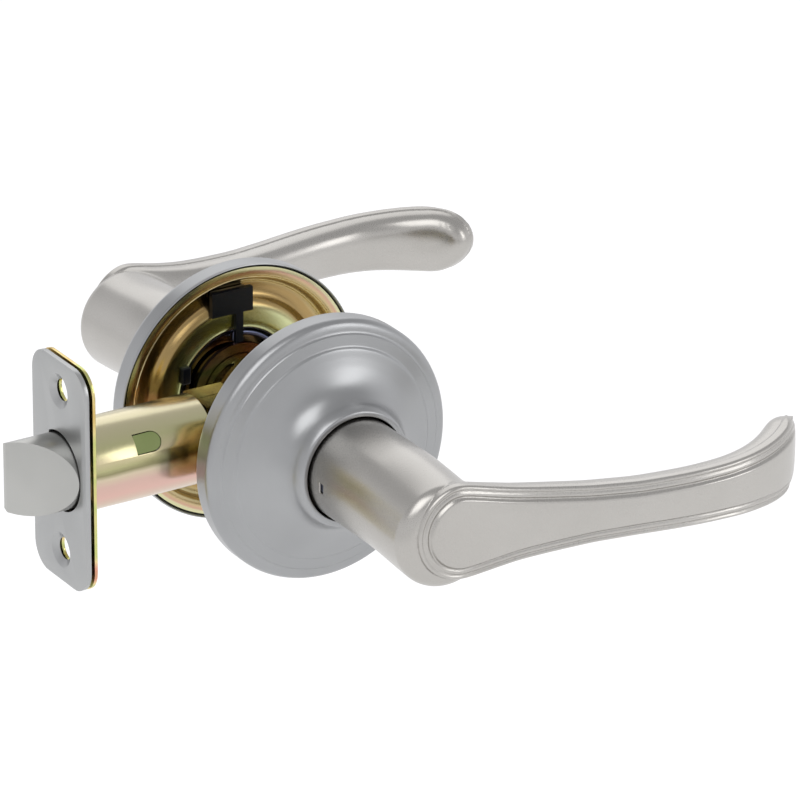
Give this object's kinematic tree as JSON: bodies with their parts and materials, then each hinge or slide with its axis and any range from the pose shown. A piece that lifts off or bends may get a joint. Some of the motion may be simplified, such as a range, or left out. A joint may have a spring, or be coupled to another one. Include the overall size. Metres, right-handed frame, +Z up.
{
  "type": "lever handle lockset",
  "caption": "Tubular passage lever lockset: two curled levers on round rosettes, a square spindle, and a sprung latch with a sloping bolt behind a rounded faceplate.",
  "frame": {"origin": "where the spindle axis meets the latch axis, at the middle of the door's thickness", "axes": "+Y along the spindle from the outside trim to the inside trim, +X from the latch bolt towards the lever tips, +Z up"},
  "size_m": [0.1753, 0.1806, 0.0664],
  "materials": {
    "satin_nickel": "satin nickel plate, warm light grey",
    "satin_rosette": "satin nickel plate on spun sheet",
    "satin_plate": "fine satin, cool grey",
    "bolt_nickel": "satin nickel casting",
    "yellow_zinc": "iridescent yellow chromate on zinc",
    "black_plastic": "moulded black",
    "dark_spring_steel": "oiled blue-black spring wire",
    "bright_steel": "plain bright steel"
  },
  "bodies": {
    "chassis": {"outside_rosette": "satin_rosette", "outside_liner": "yellow_zinc", "outside_stop_block": "black_plastic", "outside_return_spring": "dark_spring_steel", "inside_rosette": "satin_rosette", "inside_liner": "yellow_zinc", "inside_stop_block": "black_plastic", "inside_return_spring": "dark_spring_steel", "post_left": "yellow_zinc", "post_right": "yellow_zinc", "screw_left": "yellow_zinc", "screw_right": "yellow_zinc", "latch_faceplate": "satin_plate", "latch_backplate": "yellow_zinc", "latch_tube": "yellow_zinc", "spring_seat": "bright_steel", "bolt_spring": "bright_steel", "cam_case_near": "yellow_zinc", "cam_case_far": "yellow_zinc"},
    "outside_lever_group": {"outside_lever": "satin_nickel", "outside_drive_sleeve": "yellow_zinc", "outside_driver_plate": "yellow_zinc", "outside_retaining_ring": "bright_steel", "outside_catch_spring": "bright_steel", "spindle": "bright_steel", "latch_cam": "bright_steel"},
    "outside_catch_group": {"outside_lever_catch": "bright_steel"},
    "inside_lever_group": {"inside_lever": "satin_nickel", "inside_drive_sleeve": "yellow_zinc", "inside_driver_plate": "yellow_zinc", "inside_retaining_ring": "bright_steel", "inside_catch_spring": "bright_steel"},
    "inside_catch_group": {"inside_lever_catch": "bright_steel"},
    "drawbar_group": {"drawbar": "yellow_zinc"},
    "bolt_group": {"latch_bolt": "bolt_nickel"}
  },
  "joints": [
    {"name": "outside_lever_turn", "type": "hinge", "parent": "chassis", "child": "outside_lever_group", "pos_m": [0, 0, 0], "axis": [0, 1, 0], "range_deg": [0, 55], "stiffness_Nm_per_rad": 0.8, "springref_deg": -28.65, "deforming": ["outside_return_spring"]},
    {"name": "inside_lever_turn", "type": "hinge", "parent": "chassis", "child": "inside_lever_group", "pos_m": [0, 0, 0], "axis": [0, 1, 0], "range_deg": [0, 55], "stiffness_Nm_per_rad": 0.8, "springref_deg": -28.65, "deforming": ["inside_return_spring"]},
    {"name": "drawbar_slide", "type": "slide", "parent": "chassis", "child": "drawbar_group", "axis": [1, 0, 0], "range_m": [0, 0.0127], "deforming": ["bolt_spring"]},
    {"name": "bolt_push", "type": "slide", "parent": "drawbar_group", "child": "bolt_group", "axis": [1, 0, 0], "range_m": [0, 0.0127], "stiffness_N_per_m": 250, "springref_m": -0.012, "deforming": ["bolt_spring"]},
    {"name": "outside_catch_push", "type": "slide", "parent": "outside_lever_group", "child": "outside_catch_group", "axis": [1, 0, 0], "range_m": [0, 0.0026], "stiffness_N_per_m": 600, "springref_m": -0.0015, "deforming": ["outside_catch_spring"]},
    {"name": "inside_catch_push", "type": "slide", "parent": "inside_lever_group", "child": "inside_catch_group", "axis": [1, 0, 0], "range_m": [0, 0.0026], "stiffness_N_per_m": 600, "springref_m": -0.0015, "deforming": ["inside_catch_spring"]}
  ],
  "couplings": [
    {"joint": "inside_lever_turn", "follows": "outside_lever_turn", "ratio": 1},
    {"joint": "drawbar_slide", "follows": "outside_lever_turn", "m_per_rad": 0.01323}
  ]
}
